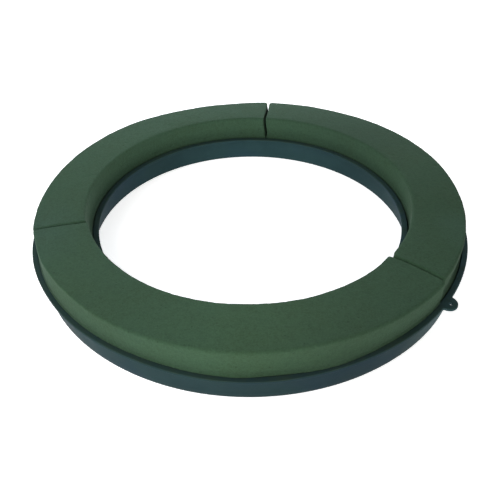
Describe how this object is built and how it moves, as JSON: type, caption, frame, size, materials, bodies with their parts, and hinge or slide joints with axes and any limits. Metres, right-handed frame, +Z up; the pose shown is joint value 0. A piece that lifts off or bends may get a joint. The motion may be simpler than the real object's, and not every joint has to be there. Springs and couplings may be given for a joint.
{
  "type": "floral foam wreath frame",
  "caption": "Round wreath frame: a ring tray of moulded plastic with a small hanging tab holds curved blocks of green floral foam that lift out for replacement.",
  "frame": {"origin": "centre of the ring, on the plane that the tray rests on", "axes": "+Z up along the ring's axis, out of the open tray; -Y is the front of the ring, and the hanging tab is towards +X -Y"},
  "size_m": [0.3, 0.3, 0.038],
  "materials": {
    "tray_plastic": "dark blue-green moulded plastic with a soft sheen",
    "floral_foam": "matt fine-celled rigid floral foam, moss green"
  },
  "bodies": {
    "tray": {"tray": "tray_plastic"},
    "foam_front": {"foam_front": "floral_foam"},
    "foam_right": {"foam_right": "floral_foam"},
    "foam_left": {"foam_left": "floral_foam"}
  },
  "joints": [
    {"name": "foam_front_lift", "type": "slide", "parent": "tray", "child": "foam_front", "axis": [0, 0, 1], "range_m": [0, 0.04]},
    {"name": "foam_right_lift", "type": "slide", "parent": "tray", "child": "foam_right", "axis": [0, 0, 1], "range_m": [0, 0.04]},
    {"name": "foam_left_lift", "type": "slide", "parent": "tray", "child": "foam_left", "axis": [0, 0, 1], "range_m": [0, 0.04]}
  ]
}
